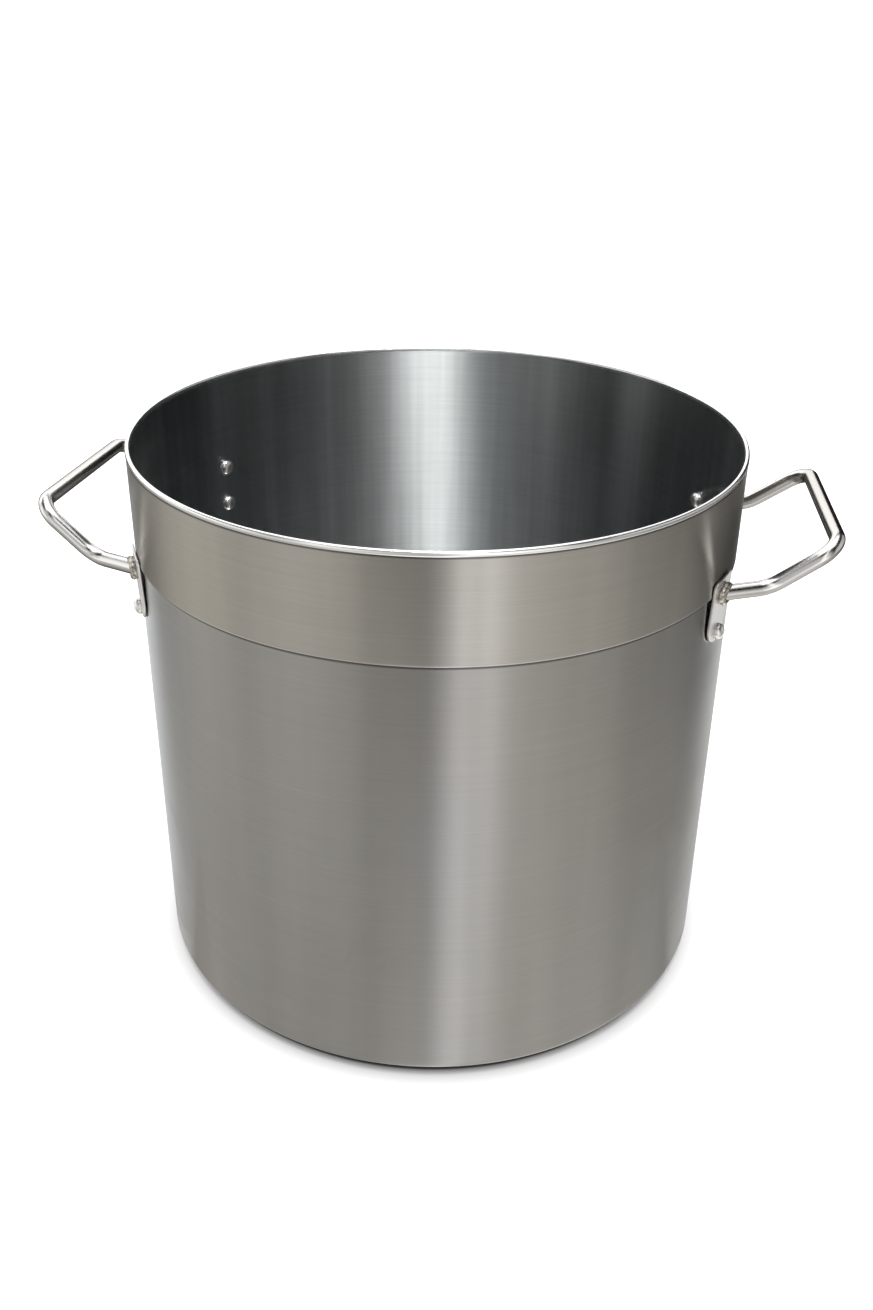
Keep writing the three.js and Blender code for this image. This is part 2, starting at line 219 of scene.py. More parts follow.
# ---------------------------------------------------------------------------------------------
# Material helpers
# ---------------------------------------------------------------------------------------------
class Nodes:
    """Writes a node tree as expressions. Values may be sockets or constants."""

    def __init__(self, tree):
        self.tree = tree
        self.tree.nodes.clear()

    def node(self, kind, **settings):
        made = self.tree.nodes.new(kind)
        for key, value in settings.items():
            setattr(made, key, value)
        return made

    def put(self, socket, value):
        if isinstance(value, bpy.types.NodeSocket):
            self.tree.links.new(value, socket)
        else:
            socket.default_value = value

    def math(self, operation, *values, clamp=False):
        made = self.node("ShaderNodeMath", operation=operation, use_clamp=clamp)
        for socket, value in zip(made.inputs, values):
            self.put(socket, value)
        return made.outputs[0]

    def plus(self, a, b):
        return self.math("ADD", a, b)

    def minus(self, a, b):
        return self.math("SUBTRACT", a, b)

    def times(self, a, b):
        return self.math("MULTIPLY", a, b)

    def swing(self, value, amount):
        """A 0 to 1 value turned into a change about zero."""
        return self.times(self.minus(value, 0.5), amount)

    def radius(self, x, y):
        return self.math("SQRT", self.plus(self.times(x, x), self.times(y, y)))

    def vector(self, x, y, z):
        made = self.node("ShaderNodeCombineXYZ")
        for socket, value in zip(made.inputs, (x, y, z)):
            self.put(socket, value)
        return made.outputs[0]

    def stretched(self, xyz, level, upright):
        """A point with x and y scaled by level and z by upright."""
        x, y, z = xyz
        return self.vector(self.times(x, level), self.times(y, level), self.times(z, upright))

    def object_point(self):
        return self.node("ShaderNodeTexCoord").outputs["Object"]

    def split(self, vector):
        made = self.node("ShaderNodeSeparateXYZ")
        self.put(made.inputs[0], vector)
        return tuple(made.outputs)

    def noise(self, vector, scale=1.0, detail=2.0, rough=0.5, w=None, distortion=0.0):
        made = self.node("ShaderNodeTexNoise")
        made.noise_dimensions = "3D" if w is None else "4D"
        self.put(made.inputs["Vector"], vector)
        made.inputs["Scale"].default_value = scale
        made.inputs["Detail"].default_value = detail
        made.inputs["Roughness"].default_value = rough
        made.inputs["Distortion"].default_value = distortion
        if w is not None:
            made.inputs["W"].default_value = w
        return made.outputs["Fac"]

    def ramp(self, factor, stops):
        """Stops are (position, grey or colour)."""
        made = self.node("ShaderNodeValToRGB")
        elements = made.color_ramp.elements
        while len(elements) > 1:
            elements.remove(elements[-1])
        for i, (position, color) in enumerate(stops):
            element = elements[0] if i == 0 else elements.new(position)
            element.position = position
            if not isinstance(color, tuple):
                color = (color, color, color)
            element.color = (*color, 1.0)
        self.put(made.inputs[0], factor)
        return made.outputs["Color"]

    def remap(self, value, source, target=(0.0, 1.0), smooth=False):
        """Carries the source range over to the target range, clamped."""
        made = self.node("ShaderNodeMapRange")
        if smooth:
            made.interpolation_type = "SMOOTHSTEP"
        for i, v in enumerate((value, *source, *target)):
            self.put(made.inputs[i], v)
        return made.outputs[0]

    def mix(self, factor, a, b, blend="MIX"):
        made = self.node("ShaderNodeMix", data_type="RGBA", blend_type=blend)
        self.put(made.inputs[0], factor)
        for socket, value in ((made.inputs[6], a), (made.inputs[7], b)):
            if isinstance(value, tuple):
                value = (*value, 1.0)
            self.put(socket, value)
        return made.outputs[2]

    def tint(self, color, by):
        return self.mix(1.0, color, by, "MULTIPLY")

    def dim(self, color, by):
        """Colour multiplied by one number."""
        return self.tint(color, self.vector(by, by, by))

    def paint(self, base, color, mask, strength):
        return self.mix(self.times(mask, strength), base, color)

    def bump(self, height, strength, distance, normal=None):
        made = self.node("ShaderNodeBump")
        made.inputs["Strength"].default_value = strength
        made.inputs["Distance"].default_value = distance
        self.put(made.inputs["Height"], height)
        if normal is not None:
            self.put(made.inputs["Normal"], normal)
        return made.outputs["Normal"]


def new_material(name):
    material = bpy.data.materials.new(name)
    material.use_nodes = True
    return material, Nodes(material.node_tree)


def brush_noise(t, point, xyz, brush, scale):
    """Fine and broad noise that change fast across the brushing lines and slowly along them."""
    if brush == "round":
        fine = t.noise(t.stretched(xyz, 9.0, scale), detail=3.0, rough=0.65)
        broad = t.noise(t.stretched(xyz, 5.0, 420.0), detail=4.0, rough=0.7, w=3.1)
    elif brush == "flat":
        x, y, _ = xyz
        radius = t.radius(x, y)
        unit_x = t.math("DIVIDE", x, t.math("MAXIMUM", radius, 1e-4))
        unit_y = t.math("DIVIDE", y, t.math("MAXIMUM", radius, 1e-4))
        fine = t.noise(t.stretched((unit_x, unit_y, radius), 1.8, scale), detail=3.0, rough=0.65)
        broad_point = t.vector(unit_x, unit_y, t.times(radius, 160.0))
        broad = t.noise(broad_point, detail=3.0, rough=0.6, w=3.1)
    elif brush == "straight":
        fine = t.noise(t.stretched(xyz, scale, 60.0), detail=3.0, rough=0.65)
        broad = t.noise(point, scale=90.0, detail=3.0, rough=0.6, w=3.1)
    else:
        fine = t.noise(point, scale=900.0, detail=2.0, rough=0.6)
        broad = t.noise(point, scale=60.0, detail=3.0, rough=0.6, w=3.1)
    return fine, broad


def steel(
    name,
    color,
    rough=None,
    rough_var=0.0,
    anisotropy=0.0,
    brush="none",
    brush_scale=0.0,
    brush_bump=0.0,
    shade_var=0.06,
    cloud_scale=7.0,
    line_var=0.0,
    band_var=0.3,
    band_scale=26.0,
    warm=None,
    edge_wear_and_highlight=0.0,
    underside_shade=None,
    outline=None,
    marks=None,
):
    """A metal finish.

    brush: round = lines round Z on upright walls; flat = circles on a level face;
        straight = lines along Z; none. brush_scale is its fineness across the lines.
    rough: None leaves the roughness to marks. rough_var, shade_var: how far they wander.
    line_var, band_var, band_scale: level lines and upright bands, on round brushing only.
    warm: colour multiplied in, in clouds. edge_wear_and_highlight: how bright convex edges are, as
    wear and a painted highlight.
    underside_shade: painted shade, how bright faces that look down are. outline: painted shade, a
    ramp from facing to edge-on.
    marks: a function that adds its own details to colour, roughness and normal.
    """
    material, t = new_material(name)
    out = t.node("ShaderNodeOutputMaterial")
    bsdf = t.node("ShaderNodeBsdfPrincipled")
    t.put(out.inputs["Surface"], bsdf.outputs[0])
    point = t.object_point()
    xyz = None if brush == "none" else t.split(point)
    fine, broad = brush_noise(t, point, xyz, brush, brush_scale)
    clouds = t.noise(point, scale=cloud_scale, detail=4.0, rough=0.55, w=1.7, distortion=0.4)

    shade = t.plus(t.swing(clouds, shade_var * 2.2), t.swing(broad, shade_var * 1.2))
    shade = t.plus(shade, t.swing(fine, shade_var * 0.8))
    if brush == "round":
        lines = t.noise(t.stretched(xyz, 14.0, 1050.0), detail=2.0, rough=0.75, w=6.4)
        shade = t.plus(shade, t.swing(lines, line_var * 4.0))
        bands = t.noise(t.stretched(xyz, band_scale, 1.6), detail=3.0, rough=0.6, w=9.7)
        shade = t.plus(shade, t.swing(bands, band_var))
    base = t.dim(color, t.plus(shade, 1.0))
    if warm is not None:
        warm_clouds = t.noise(point, scale=cloud_scale * 0.7, detail=3.0, rough=0.5, w=8.3)
        base = t.mix(t.remap(warm_clouds, (0.42, 0.68)), base, t.tint(base, warm))

    roughness = None
    if rough is not None:
        roughness = t.plus(rough, t.swing(fine, rough_var * 1.6))
        roughness = t.plus(roughness, t.swing(clouds, rough_var * 1.2))
        roughness = t.math("MAXIMUM", roughness, 0.04)

    normal = None
    if brush_bump:
        normal = t.bump(fine, strength=brush_bump, distance=0.04 * MM)
    # Convex edges painted brighter: partly wear, partly a painted highlight.
    if edge_wear_and_highlight:
        pointiness = t.node("ShaderNodeNewGeometry").outputs["Pointiness"]
        wear_and_highlight = t.remap(pointiness, (0.505, 0.56), (0.0, edge_wear_and_highlight))
        base = t.mix(wear_and_highlight, base, (0.86, 0.85, 0.83))
        roughness = t.minus(roughness, t.times(wear_and_highlight, 0.08))
        roughness = t.math("MAXIMUM", roughness, 0.04)
    # Painted shade: faces that look down are darkened.
    if underside_shade:
        normal_z = t.split(t.node("ShaderNodeNewGeometry").outputs["Normal"])[2]
        base = t.dim(base, t.remap(normal_z, (-0.7, 0.3), (underside_shade, 1.0), smooth=True))
    if outline:
        # Painted shade: the far sides of a round piece are darkened as they turn edge-on to the
        # view, as if turned away to the dark end of the room.
        facing = t.node("ShaderNodeLayerWeight")
        facing.inputs["Blend"].default_value = 0.5
        if normal is not None:
            t.put(facing.inputs["Normal"], normal)
        base = t.tint(base, t.ramp(facing.outputs["Facing"], outline))
    if marks is not None:
        base, roughness, normal = marks(t, point, xyz, base, roughness, normal)

    t.put(bsdf.inputs["Base Color"], base)
    t.put(bsdf.inputs["Roughness"], roughness)
    bsdf.inputs["Metallic"].default_value = 1.0
    if anisotropy:
        bsdf.inputs["Anisotropic"].default_value = anisotropy
        bsdf.inputs["Anisotropic Rotation"].default_value = 0.25  # a quarter turn
        tangent = t.node("ShaderNodeTangent", direction_type="RADIAL", axis="Z")
        t.put(bsdf.inputs["Tangent"], tangent.outputs[0])
    if normal is not None:
        t.put(bsdf.inputs["Normal"], normal)
    return material


# ---------------------------------------------------------------------------------------------
# Marks: details of single finishes
# ---------------------------------------------------------------------------------------------
def body_marks(t, point, xyz, base, roughness, normal):
    """Faint handling marks on the wall, and painted shade and highlight at its top and bottom
    corners.
    """
    x, y, z = xyz

    # Wipe clouds, strongest low on the wall.
    wipe_noise = t.noise(
        t.stretched(xyz, 9.0, 16.0), detail=3.0, rough=0.6, w=12.0, distortion=1.2
    )
    wipe = t.times(t.remap(wipe_noise, (0.52, 0.66)), t.remap(z, (0.03, 0.2), (1.0, 0.25)))
    base = t.paint(base, (0.78, 0.78, 0.77), mask=wipe, strength=0.16)
    roughness = t.plus(roughness, t.times(wipe, 0.05))

    # A few hairline scratches.
    cells = t.node("ShaderNodeTexVoronoi", feature="DISTANCE_TO_EDGE")
    t.put(cells.inputs["Vector"], t.stretched(xyz, 26.0, 5.0))
    cells.inputs["Scale"].default_value = 1.0
    hair = t.remap(cells.outputs["Distance"], (0.0, 0.006), (1.0, 0.0))
    chosen = t.remap(t.noise(point, scale=22.0, detail=1.0, rough=0.5, w=21.0), (0.62, 0.7))
    hair = t.times(hair, chosen)
    base = t.paint(base, (0.82, 0.82, 0.8), mask=hair, strength=0.10)
    roughness = t.plus(roughness, t.times(hair, 0.05))

    # Dark line in the corner under the band: painted shade in the crevice, with some grime.
    crevice_shade_and_grime = t.remap(z, (BAND_Z0 - 2.6 * MM, BAND_Z0 - 1.3 * MM), smooth=True)
    base = t.paint(base, (0.06, 0.055, 0.05), mask=crevice_shade_and_grime, strength=0.75)

    # The foot: a painted highlight on the turned corner, and painted shade beneath where it tucks
    # under.
    painted_foot_highlight = t.times(
        t.remap(z, (SHELL_Z0 + 3.4 * MM, SHELL_Z0 + 2.7 * MM), smooth=True),
        t.remap(z, (SHELL_Z0 + 1.7 * MM, SHELL_Z0 + 2.1 * MM), smooth=True),
    )
    base = t.paint(base, (0.9, 0.9, 0.89), mask=painted_foot_highlight, strength=0.55)
    painted_foot_shade = t.remap(z, (SHELL_Z0 + 1.9 * MM, SHELL_Z0 + 1.3 * MM), smooth=True)
    base = t.paint(base, (0.03, 0.03, 0.03), mask=painted_foot_shade, strength=0.9)
    return base, roughness, normal


def band_edges(t, point, xyz, base, roughness, normal):
    """A painted highlight along the foot of the band, and painted shade in a dark line under the
    rim.
    """
    z = xyz[2]
    # Painted highlight on the band's rounded bottom edge.
    foot = t.remap(z, (BAND_Z0 + 0.5 * MM, BAND_Z0 + 1.1 * MM), (1.0, 0.0), smooth=True)
    base = t.paint(base, (0.93, 0.92, 0.9), mask=foot, strength=0.8)
    # Painted shade under the rim.
    under_rim_shade = t.remap(z, (BAND_Z1 - 1.6 * MM, BAND_Z1 - 0.6 * MM), smooth=True)
    base = t.paint(base, (0.07, 0.065, 0.06), mask=under_rim_shade, strength=0.75)
    return base, roughness, normal


HEAT_COLOURS = [
    (0.30, (0.10, 0.075, 0.05)),
    (0.44, (0.34, 0.29, 0.24)),
    (0.56, (0.66, 0.63, 0.58)),
    (0.8, (0.88, 0.87, 0.85)),
]


def heat_tint(t, point, xyz, base, roughness, normal):
    """Patches of brown, straw and silver heat colour, over a fine-grained surface."""
    patches = t.noise(point, scale=420.0, detail=2.0, rough=0.6, w=2.0)
    base = t.mix(0.85, base, t.ramp(patches, HEAT_COLOURS))
    roughness = t.remap(patches, (0.35, 0.7), (0.42, 0.2))
    grain = t.noise(point, scale=1300.0, detail=2.0, rough=0.6, w=6.0)
    normal = t.bump(grain, strength=0.5, distance=0.25 * MM)
    return base, roughness, normal


def rivet_marks(t, point, xyz, base, roughness, normal):
    """Die marks on a set head."""
    dents = t.noise(point, scale=520.0, detail=2.0, rough=0.55, w=4.0)
    base = t.mix(t.remap(dents, (0.34, 0.46), (0.25, 0.0)), base, (0.3, 0.28, 0.25))
    normal = t.bump(dents, strength=0.1, distance=0.5 * MM, normal=normal)
    return base, roughness, normal


# ---------------------------------------------------------------------------------------------
# Finishes
# ---------------------------------------------------------------------------------------------
MAT_OUT = steel(
    "shell_outside_brushed", (0.56, 0.55, 0.53), rough=0.315, rough_var=0.04, anisotropy=0.985,
    brush="round", brush_scale=4200.0, brush_bump=0.18, shade_var=0.085, cloud_scale=6.0,
    line_var=0.042, warm=(1.0, 0.975, 0.94), marks=body_marks,
)
MAT_IN = steel(
    "shell_inside_brushed", (0.446, 0.474, 0.484), rough=0.325, rough_var=0.04, anisotropy=1.0,
    brush="round", brush_scale=3600.0, brush_bump=0.14, shade_var=0.07, cloud_scale=5.0,
    line_var=0.075, band_var=0.95, band_scale=52.0,
)
MAT_FLOOR = steel(
    "shell_floor_brushed", (0.55, 0.55, 0.55), rough=0.28, rough_var=0.06, anisotropy=0.6,
    brush="flat", brush_scale=2600.0, brush_bump=0.15, shade_var=0.07,
)
MAT_BAND = steel(
    "band_brushed", (0.645, 0.622, 0.575), rough=0.29, rough_var=0.035, anisotropy=1.0,
    brush="round", brush_scale=4800.0, brush_bump=0.15, shade_var=0.045, cloud_scale=5.0,
    line_var=0.05, warm=(1.0, 0.98, 0.94), marks=band_edges,
)
MAT_RIM = steel(
    "rim_polished", (0.86, 0.86, 0.855), rough=0.22, rough_var=0.05, anisotropy=0.4,
    brush="flat", brush_scale=3500.0, brush_bump=0.1, shade_var=0.04,
)
MAT_CAP = steel(
    "cap_brushed", (0.58, 0.575, 0.565), rough=0.3, rough_var=0.07, anisotropy=0.6,
    brush="flat", brush_scale=2600.0, brush_bump=0.18, shade_var=0.07,
)
MAT_CORE = steel(
    "core_aluminium", (0.74, 0.75, 0.76), rough=0.42, rough_var=0.08,
    brush="flat", brush_scale=1800.0, brush_bump=0.2, shade_var=0.06,
)
# Painted shade on its underside and on its far sides.
MAT_ROD = steel(
    "rod_polished", (0.80, 0.79, 0.775), rough=0.22, shade_var=0.012, cloud_scale=24.0,
    warm=(1.0, 0.98, 0.95), underside_shade=0.42,
    outline=[
        (0.0, 1.0), (0.45, 1.0), (0.62, (0.72, 0.71, 0.69)), (0.80, (0.28, 0.27, 0.26)),
        (1.0, 0.10),
    ],
)
# Its convex edges are painted brighter, as wear and a painted highlight.
MAT_STRAP = steel(
    "strap_brushed", (0.66, 0.65, 0.635), rough=0.34, rough_var=0.05,
    brush="straight", brush_scale=3800.0, brush_bump=0.08, shade_var=0.04, cloud_scale=30.0,
    edge_wear_and_highlight=0.6,
)
MAT_WELD = steel("weld_bead", (0.55, 0.5, 0.42), shade_var=0.1, marks=heat_tint)
# Painted shade on the far sides of its heads.
MAT_RIVET = steel(
    "rivet_polished", (0.84, 0.83, 0.805), rough=0.3, rough_var=0.06, brush_bump=0.05,
    outline=[(0.0, 1.0), (0.7, 0.97), (0.9, 0.6), (1.0, 0.3)], marks=rivet_marks,
)


# ---------------------------------------------------------------------------------------------
# Pot shell, band, rim, base
# ---------------------------------------------------------------------------------------------
def level_points(radii, z):
    return [(radius, z) for radius in radii]


def shell():
    corner_r = SHELL_R - FOOT_BEND
    corner_z = SHELL_Z0 + FOOT_BEND
    inside_r = SHELL_R - WALL
    inside_z = SHELL_Z0 + WALL
    floor_radii = [0, 0.06, 0.12, 0.165]
    wall_heights = [0.012, 0.03, 0.07, 0.12, 0.18, 0.24, 0.29, 0.33, SHELL_Z1 - 0.002]
    profile = level_points(floor_radii, SHELL_Z0)
    profile += arc(corner_r, corner_z, FOOT_BEND, -90, 0, steps=8)
    profile += [(SHELL_R, z) for z in wall_heights]
    profile += [(SHELL_R, SHELL_Z1), (inside_r, SHELL_Z1)]
    profile += [(inside_r, z) for z in reversed(wall_heights)]
    profile += arc(corner_r, corner_z, FOOT_BEND - WALL, 0, -90, steps=7)
    profile += level_points(reversed(floor_radii), inside_z)
    obj = new_object("shell_body", lathe(profile, ROUND_SEGMENTS), sharp_angle=40)

    outside, inside, floor = 0, 1, 2
    for polygon in obj.data.polygons:
        x, y, z = polygon.center
        radius = math.hypot(x, y)
        in_outer_skin = z < SHELL_Z0 + WALL * 0.5 or radius > SHELL_R - WALL * 0.5
        if in_outer_skin or polygon.normal.z < -0.05:
            polygon.material_index = outside
        elif z < SHELL_Z0 + WALL + 0.0004 and radius < corner_r:
            polygon.material_index = floor
        else:
            polygon.material_index = inside
    register(obj, "pot_shell", "shell_steel", MAT_OUT, MAT_IN, MAT_FLOOR)


def band():
    inner_r = SHELL_R + 0.05 * MM
    edge = 0.45 * MM  # rounding of the outer bottom edge
    profile = [(inner_r, BAND_Z0 + 0.25 * MM), (inner_r + 0.2 * MM, BAND_Z0)]
    profile += arc(BAND_R - edge, BAND_Z0 + edge, edge, -90, 0, steps=5)
    profile += [(BAND_R, BAND_Z0 + rise) for rise in (0.002, 0.01, 0.024, 0.04, 0.055)]
    profile += [(BAND_R, BAND_Z1 - 0.3 * MM), (BAND_R - 0.3 * MM, BAND_Z1), (inner_r, BAND_Z1)]
    obj = new_object("band_collar", lathe(profile, ROUND_SEGMENTS, closed=True), sharp_angle=40)
    register(obj, "top_band", "band_steel", MAT_BAND)


def rim():
    inner_r = SHELL_R - WALL
    middle, half = (inner_r + RIM_R) / 2, (RIM_R - inner_r) / 2
    bottom = RIM_Z0 - 0.25 * MM
    profile = [(inner_r, bottom), (RIM_R - 0.25 * MM, bottom), (RIM_R, RIM_Z0 + 0.2 * MM)]
    # A rounded crown: half an ellipse, squared a little so that its top is flatter.
    steps = 16
    squareness = 0.72
    foot = 0.9 * MM
    for i in range(steps + 1):
        angle = math.pi * i / steps
        across, rise = math.cos(angle), math.sin(angle)
        profile.append(
            (
                middle + half * math.copysign(abs(across) ** squareness, across),
                RIM_Z0 + foot + (TOP - RIM_Z0 - foot) * abs(rise) ** squareness,
            )
        )
    obj = new_object("rim_ring", lathe(profile, ROUND_SEGMENTS, closed=True), sharp_angle=50)
    register(obj, "rim_bead", "rim_steel", MAT_RIM)


def core():
    chamfer = 0.4 * MM
    face_radii = [0, 0.08, 0.15, CORE_R - chamfer]
    profile = level_points(face_radii, CORE_Z0)
    profile += [(CORE_R, CORE_Z0 + chamfer), (CORE_R, CORE_Z1 - chamfer)]
    profile += level_points(reversed(face_radii), CORE_Z1)
    obj = new_object("heat_disc", lathe(profile, segments=192), sharp_angle=40)
    register(obj, "base_core_disc", "core_aluminium", MAT_CORE)


def cap():
    thickness = 0.9 * MM
    bend = 1.2 * MM
    face_radii = [0, 0.05, 0.1, 0.15]
    profile = level_points(face_radii, CAP_Z0)
    profile += arc(CAP_R - bend, CAP_Z0 + bend, bend, -90, 0, steps=6)
    profile += [
        (CAP_R, CAP_Z1 + 0.1 * MM),
        (CAP_R - thickness * 0.5, CAP_Z1 + 0.25 * MM),
        (CAP_R - thickness, CAP_Z1 + 0.1 * MM),
    ]
    profile += arc(CAP_R - bend, CAP_Z0 + bend, bend - thickness, 0, -90, steps=3)
    profile += level_points(reversed(face_radii), CAP_Z0 + thickness)
    obj = new_object("base_plate", lathe(profile, segments=256), sharp_angle=40)
    register(obj, "base_cap", "cap_steel", MAT_CAP)


# ---------------------------------------------------------------------------------------------
# Handles: rod, straps, welds and rivets
# ---------------------------------------------------------------------------------------------
def bent(corners, radii, steps, straight=0.006):
    """Points along a line through the corners, with each inner corner bent to its radius."""
    points = [corners[0].copy()]

    def run_to(end):
        start = points[-1]
        count = max(1, int((end - start).length / straight))
        for k in range(1, count + 1):
            points.append(start.lerp(end, k / count))

    for before, corner, after, radius in zip(corners, corners[1:], corners[2:], radii):
        back = (before - corner).normalized()
        ahead = (after - corner).normalized()
        half = math.acos(max(-1, min(1, back.dot(ahead)))) / 2
        centre = corner + (back + ahead).normalized() * (radius / math.sin(half))
        start = corner + back * (radius / math.tan(half))
        end = corner + ahead * (radius / math.tan(half))
        run_to(start)
        from_start, from_end = start - centre, end - centre
        turn = math.pi - 2 * half
        for k in range(1, steps + 1):
            t = k / steps
            points.append(
                centre
                + from_start * (math.sin((1 - t) * turn) / math.sin(turn))
                + from_end * (math.sin(t * turn) / math.sin(turn))
            )
    run_to(corners[-1])
    return points


def sweep(points, radius, sides):
    """A tube along the points, with flat closed ends and sections that don't twist."""
    bm = bmesh.new()
    last = len(points) - 1
    tangents = [
        (points[min(last, i + 1)] - points[max(0, i - 1)]).normalized() for i in range(last + 1)
    ]
    up = Vector((0, 0, 1))
    normal = (up - tangents[0] * up.dot(tangents[0])).normalized()
    rings = []
    for point, tangent in zip(points, tangents):
        normal = (normal - tangent * normal.dot(tangent)).normalized()
        side = tangent.cross(normal)
        ring = []
        for k in range(sides):
            angle = 2 * math.pi * k / sides
            offset_n = normal * (radius * math.cos(angle))
            offset_s = side * (radius * math.sin(angle))
            ring.append(bm.verts.new(point + offset_n + offset_s))
        rings.append(ring)
    for near, far in zip(rings, rings[1:]):
        for k in range(sides):
            j = (k + 1) % sides
            bm.faces.new((near[k], near[j], far[j], far[k]))
    bm.faces.new(list(reversed(rings[0])))
    bm.faces.new(rings[-1])
    return bm


def handle(first, last):
    """The rod from the first leg's strap round to the last one's, its ends sunk a little."""
    sink = 0.5 * MM
    corners = [
        first.root - first.direction * sink,
        first.knee,
        first.shoulder,
        last.shoulder,
        last.knee,
        last.root - last.direction * sink,
    ]
    points = bent(corners, [KNEE_BEND, SHOULDER_BEND, SHOULDER_BEND, KNEE_BEND], steps=16)
    rod = sweep(points, ROD_R, sides=48)
    obj = new_object(f"handle_loop_{first.side}", rod, sharp_angle=50)
    place(obj, first.turn)
    register(obj, f"handle_{first.side}", "rod_steel", MAT_ROD)


def cut(bm, point, normal):
    geometry = bm.verts[:] + bm.edges[:] + bm.faces[:]
    bmesh.ops.bisect_plane(bm, geom=geometry, plane_co=point, plane_no=normal)


def strap(leg):
    """A plate with rounded corners and broken edges, bent to the wall's curve."""
    lo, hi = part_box(f"strap_{leg.node}")
    z0, z1 = lo.z, hi.z
    half = STRAP_W / 2
    top_r, bottom_r = 4 * MM, 14.4 * MM
    outline = arc(half - bottom_r, z0 + bottom_r, bottom_r, -90, 0, steps=18)
    outline += arc(half - top_r, z1 - top_r, top_r, 0, 90, steps=8)
    outline += arc(-half + top_r, z1 - top_r, top_r, 90, 180, steps=8)
    outline += arc(-half + bottom_r, z0 + bottom_r, bottom_r, 180, 270, steps=18)

    # The flat plate: x through its thickness, y across, z up.
    bm = bmesh.new()
    inner = [bm.verts.new((0, y, z)) for y, z in outline]
    outer = [bm.verts.new((STRAP_T, y, z)) for y, z in outline]
    inner_face = bm.faces.new(inner)
    outer_face = bm.faces.new(outer)
    for i in range(len(outline)):
        j = (i + 1) % len(outline)
        bm.faces.new((inner[i], inner[j], outer[j], outer[i]))
    bmesh.ops.recalc_face_normals(bm, faces=bm.faces)
    bmesh.ops.bevel(
        bm, geom=list(outer_face.edges) + list(inner_face.edges), offset=0.4 * MM, segments=3,
        profile=0.6, affect="EDGES", clamp_overlap=True,
    )
    flats = sorted(bm.faces, key=lambda face: -face.calc_area())[:2]
    bmesh.ops.inset_individual(bm, faces=flats, thickness=0.25 * MM)

    # Cuts that let it bend. The upright ones stand just off the middle, clear of its vertices.
    spacing, shift = 2 * MM, 0.01 * MM
    cuts_each_side = int(half / spacing)
    for i in range(-cuts_each_side, cuts_each_side + 1):
        cut(bm, (0, i * spacing + shift, 0), (0, 1, 0))
    rows = 11
    for i in range(1, rows):
        cut(bm, (0, 0, z0 + (z1 - z0) * i / rows), (0, 0, 1))
    for vert in bm.verts:
        depth, y, z = vert.co
        vert.co.x = math.sqrt((strap_inner(z) + depth) ** 2 - y * y)
    obj = new_object(f"bracket_{leg.node}", bm, sharp_angle=60)
    place(obj, leg.facing)
    register(obj, f"strap_{leg.node}", "strap_steel", MAT_STRAP)


def weld(leg):
    """A heavy, lumpy bead laid round the leg, squeezed between rod and strap."""
    # The strap's own frame: x outward from its inner face, z up the plate from the band's foot.
    strap_frame = (
        Matrix.Rotation(leg.az, 4, "Z")
        @ Matrix.Translation((BAND_R + STRAP_GAP, 0, BAND_Z0))
        @ Matrix.Rotation(STRAP_TILT, 4, "Y")
    )
    to_strap = strap_frame.inverted()
    rod_way = (to_strap.to_3x3() @ leg.direction).normalized()
    centre = to_strap @ leg.root
    slant = abs(rod_way.x)
    ring_r, bead_r, lift = 4.6 * MM, 2.6 * MM, 1.4 * MM
    ring_steps, bead_steps = 144, 24
    ripples = 13
    left = leg.side == "left"
    seed = Vector((3.1 * leg.az + (5 if left else 0), 1.7, 9.1 if left else 3.7))

    bm = bmesh.new()
    rings = []
    for i in range(ring_steps):
        a = 2 * math.pi * i / ring_steps
        cos_a, sin_a = math.cos(a), math.sin(a)
        # Centre of the section, on the ellipse where the rod meets the plate.
        section = Vector(
            (centre.x + lift, centre.y + ring_r * cos_a / slant, centre.z + ring_r * sin_a)
        )
        drift = 0.35 * noise.noise(Vector((cos_a * 2, sin_a * 2, 1)) + seed)
        phase = (a * ripples / (2 * math.pi) + drift) % 1.0
        swell = 0.10 * math.sin(math.pi * phase) ** 0.6
        outward = Vector((0, cos_a * slant, sin_a)).normalized()
        ring = []
        for k in range(bead_steps):
            b = 2 * math.pi * k / bead_steps
            reach = 1 + 0.35 * math.cos(b)
            q = Vector((cos_a * reach, sin_a * reach, 0.9 * math.sin(b)))
            lump = 0.16 * noise.noise(q * 1.7 + seed) + 0.09 * noise.noise(q * 4.1 + seed * 2)
            radius = bead_r * min(1.02, 0.86 + swell + lump)
            height = radius * math.sin(b)
            p = section + outward * (radius * math.cos(b)) + Vector((1, 0, 0)) * height
            if height > 0:
                p += rod_way * (0.1 * height)  # the bead climbs the rod
            # Keep it from sinking far into the plate's curved face.
            p.x = max(p.x, STRAP_T - p.y * p.y / (2 * BAND_R) - 0.25 * MM)
            ring.append(bm.verts.new(p))
        rings.append(ring)
    for i in range(ring_steps):
        near, far = rings[i], rings[(i + 1) % ring_steps]
        for k in range(bead_steps):
            j = (k + 1) % bead_steps
            bm.faces.new((near[k], near[j], far[j], far[k]))
    obj = new_object(f"bead_{leg.node}", bm, sharp_angle=70)
    place(obj, leg.turn @ strap_frame)
    register(obj, f"leg_weld_{leg.node}", "weld_steel", MAT_WELD)


def dome(radius, height, at, sign, steps=10, dimple=0.0, power=0.8):
    """Profile of a set head from its edge to its crown. sign +1 grows outward."""
    points = [(radius * 0.97, at)]
    for i in range(steps):
        angle = math.radians(90 * i / steps)
        rise = height * (0.16 + 0.84 * math.sin(angle))
        points.append((radius * math.cos(angle) ** power, at + sign * rise))
    points.append((0.0, at + sign * (height * (1 - dimple))))
    return points


